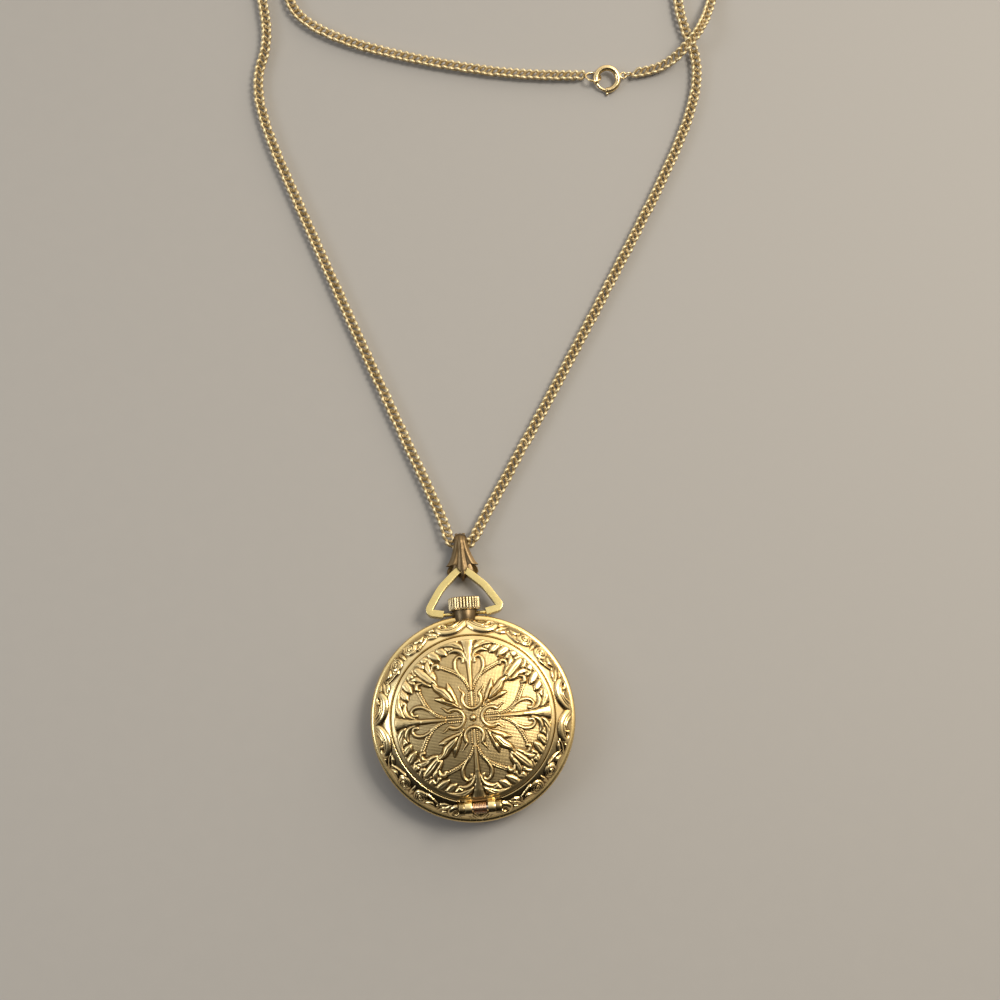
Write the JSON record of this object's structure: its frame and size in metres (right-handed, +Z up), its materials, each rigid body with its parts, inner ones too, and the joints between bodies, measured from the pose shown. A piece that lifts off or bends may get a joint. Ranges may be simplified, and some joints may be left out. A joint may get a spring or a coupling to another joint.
{
  "type": "pendant watch",
  "caption": "Round hunter-cased pendant watch with a hinged domed cover, fluted crown, triangular bow, leaf bail and long curb chain with a spring ring clasp.",
  "frame": {"origin": "centre of the case back's flat resting face", "axes": "+Z up through the cover, +Y towards the crown at 12 o'clock, +X towards 3 o'clock"},
  "size_m": [0.0934, 0.2045, 0.0102],
  "materials": {
    "gold_case": "satin gold tone",
    "gold_bow": "polished gold tone",
    "gold_crown": "pale gold tone",
    "gold_chain": "pinkish gold tone",
    "bronze": "darkened bronze",
    "spring": "pinkish spring wire",
    "movement": "grained gilt",
    "wheels": "gilt",
    "steel": "polished steel",
    "blued": "blued steel",
    "crystal": "clear",
    "gasket": "matte",
    "dial": "satin lacquer",
    "ruby": "polished"
  },
  "bodies": {
    "case": {"case_back": "gold_case", "back_gasket": "gasket", "case_band": "gold_case", "border_ring": "gold_case", "pendant_neck": "gold_case", "stem_gasket": "gasket", "case_knuckles": "gold_case", "hinge_pin": "gold_case", "hinge_spring": "spring", "crystal": "crystal", "crystal_gasket": "gasket", "dial": "dial", "dial_ring": "gold_case", "movement_ring": "movement", "case_screws": "steel", "main_plate": "movement", "barrel_bridge": "movement", "train_bridge": "movement", "balance_cock": "movement", "pallet_cock": "movement", "bridge_screws": "steel", "jewels": "ruby", "click_spring": "steel"},
    "cover": {"cover_shell": "gold_case", "cover_lining": "gold_case", "cover_knuckles": "gold_case"},
    "catch": {"cover_catch": "gold_case"},
    "winding_pinions": {"winding_pinion": "steel", "sliding_pinion": "steel"},
    "crown_and_stem": {"crown": "gold_crown", "winding_stem": "steel"},
    "crown_wheel_body": {"crown_wheel": "steel"},
    "ratchet": {"ratchet_wheel": "steel", "ratchet_screw": "steel", "barrel_arbor": "steel"},
    "click_body": {"click": "steel"},
    "fourth": {"fourth_wheel": "wheels"},
    "third": {"third_wheel": "wheels"},
    "centre": {"centre_wheel": "wheels"},
    "barrel": {"barrel_drum": "wheels", "barrel_lid": "wheels", "mainspring": "steel"},
    "escape": {"escape_wheel": "steel"},
    "balance": {"balance_wheel": "wheels", "hairspring": "blued"},
    "fork": {"pallet_fork": "steel", "pallet_stones": "ruby"},
    "minute": {"minute_hand": "blued", "cannon_pinion": "steel"},
    "motion_wheel": {"minute_wheel": "wheels"},
    "hour": {"hour_hand": "blued", "hour_wheel": "wheels"},
    "bow_body": {"bow": "gold_bow"},
    "bail_body": {"bail": "bronze"},
    "chain_body": {"chain": "gold_chain", "clasp_ring": "gold_chain", "clasp_spring": "steel", "clasp_eyelet": "gold_chain", "jump_rings": "gold_chain"},
    "trigger": {"clasp_trigger": "gold_chain"}
  },
  "joints": [
    {"name": "cover_hinge", "type": "hinge", "parent": "case", "child": "cover", "pos_m": [0, -0.0153, 0.0075], "axis": [1, 0, 0], "range_deg": [0, 100]},
    {"name": "catch_slide", "type": "slide", "parent": "case", "child": "catch", "axis": [0, -1, 0], "range_m": [0, 0.0003], "stiffness_N_per_m": 100},
    {"name": "crown_turn", "type": "hinge", "parent": "case", "child": "winding_pinions", "pos_m": [0, 0.01, 0.0034], "axis": [0, 1, 0], "continuous": true},
    {"name": "crown_slide", "type": "slide", "parent": "winding_pinions", "child": "crown_and_stem", "axis": [0, 1, 0], "range_m": [-0.00025, 0.0009]},
    {"name": "crown_wheel_turn", "type": "hinge", "parent": "case", "child": "crown_wheel_body", "pos_m": [0, 0.00817, 0.0017], "axis": [0, 0, 1], "continuous": true},
    {"name": "ratchet_turn", "type": "hinge", "parent": "case", "child": "ratchet", "pos_m": [-0.00345, 0.0029, 0.0017], "axis": [0, 0, 1], "continuous": true},
    {"name": "click_swing", "type": "hinge", "parent": "case", "child": "click_body", "pos_m": [-0.00804, -0.00031, 0.00175], "axis": [0, 0, 1], "range_deg": [0, 10], "stiffness_Nm_per_rad": 0.00002},
    {"name": "fourth_turn", "type": "hinge", "parent": "case", "child": "fourth", "pos_m": [0.00273, -0.0048, 0.0031], "axis": [0, 0, 1], "continuous": true},
    {"name": "escape_turn", "type": "hinge", "parent": "case", "child": "escape", "pos_m": [0.00525, -0.00335, 0.0035], "axis": [0, 0, 1], "continuous": true},
    {"name": "third_turn", "type": "hinge", "parent": "case", "child": "third", "pos_m": [-0.00055, -0.00392, 0.0035], "axis": [0, 0, 1], "continuous": true},
    {"name": "centre_turn", "type": "hinge", "parent": "case", "child": "centre", "pos_m": [0, 0, 0.0028], "axis": [0, 0, 1], "continuous": true},
    {"name": "barrel_turn", "type": "hinge", "parent": "case", "child": "barrel", "pos_m": [-0.00345, 0.0029, 0.0033], "axis": [0, 0, 1], "continuous": true},
    {"name": "balance_swing", "type": "hinge", "parent": "case", "child": "balance", "pos_m": [0.00735, 0.00148, 0.0029], "axis": [0, 0, 1], "range_deg": [-135, 135], "stiffness_Nm_per_rad": 0.0000001},
    {"name": "fork_swing", "type": "hinge", "parent": "case", "child": "fork", "pos_m": [0.0066, -0.00142, 0.0035], "axis": [0, 0, 1], "range_deg": [-5.2, 5.2]},
    {"name": "minute_turn", "type": "hinge", "parent": "case", "child": "minute", "pos_m": [0, 0, 0.0055], "axis": [0, 0, 1], "continuous": true},
    {"name": "motion_wheel_turn", "type": "hinge", "parent": "case", "child": "motion_wheel", "pos_m": [0.0012, -0.00208, 0.0048], "axis": [0, 0, 1], "continuous": true},
    {"name": "hour_turn", "type": "hinge", "parent": "case", "child": "hour", "pos_m": [0, 0, 0.0054], "axis": [0, 0, 1], "continuous": true},
    {"name": "bow_swing", "type": "hinge", "parent": "case", "child": "bow_body", "pos_m": [0, 0.0184, 0.0034], "axis": [1, 0, 0], "range_deg": [-75, 75]},
    {"name": "bail_swing", "type": "hinge", "parent": "bow_body", "child": "bail_body", "pos_m": [0.0002, 0.02634, 0.00188], "axis": [1, 0, 0], "range_deg": [-10, 15]},
    {"name": "chain_swing", "type": "hinge", "parent": "bail_body", "child": "chain_body", "pos_m": [0.00025, 0.0309, 0.00175], "axis": [1, 0, 0], "range_deg": [0, 45]},
    {"name": "trigger_slide", "type": "hinge", "parent": "chain_body", "child": "trigger", "pos_m": [0.0351, 0.1182, 0.00112], "axis": [0, -0.2419, 0.9703], "range_deg": [0, 45], "stiffness_Nm_per_rad": 0.0005}
  ],
  "couplings": [
    {"joint": "crown_wheel_turn", "follows": "crown_turn", "ratio": 0.65385},
    {"joint": "ratchet_turn", "follows": "crown_turn", "ratio": -0.38636},
    {"joint": "escape_turn", "follows": "fourth_turn", "ratio": -10},
    {"joint": "third_turn", "follows": "fourth_turn", "ratio": -0.13333},
    {"joint": "centre_turn", "follows": "fourth_turn", "ratio": 0.016667},
    {"joint": "barrel_turn", "follows": "fourth_turn", "ratio": -0.0023148},
    {"joint": "fork_swing", "follows": "balance_swing", "ratio": -0.037037},
    {"joint": "motion_wheel_turn", "follows": "minute_turn", "ratio": -0.33333},
    {"joint": "hour_turn", "follows": "minute_turn", "ratio": 0.083333}
  ]
}
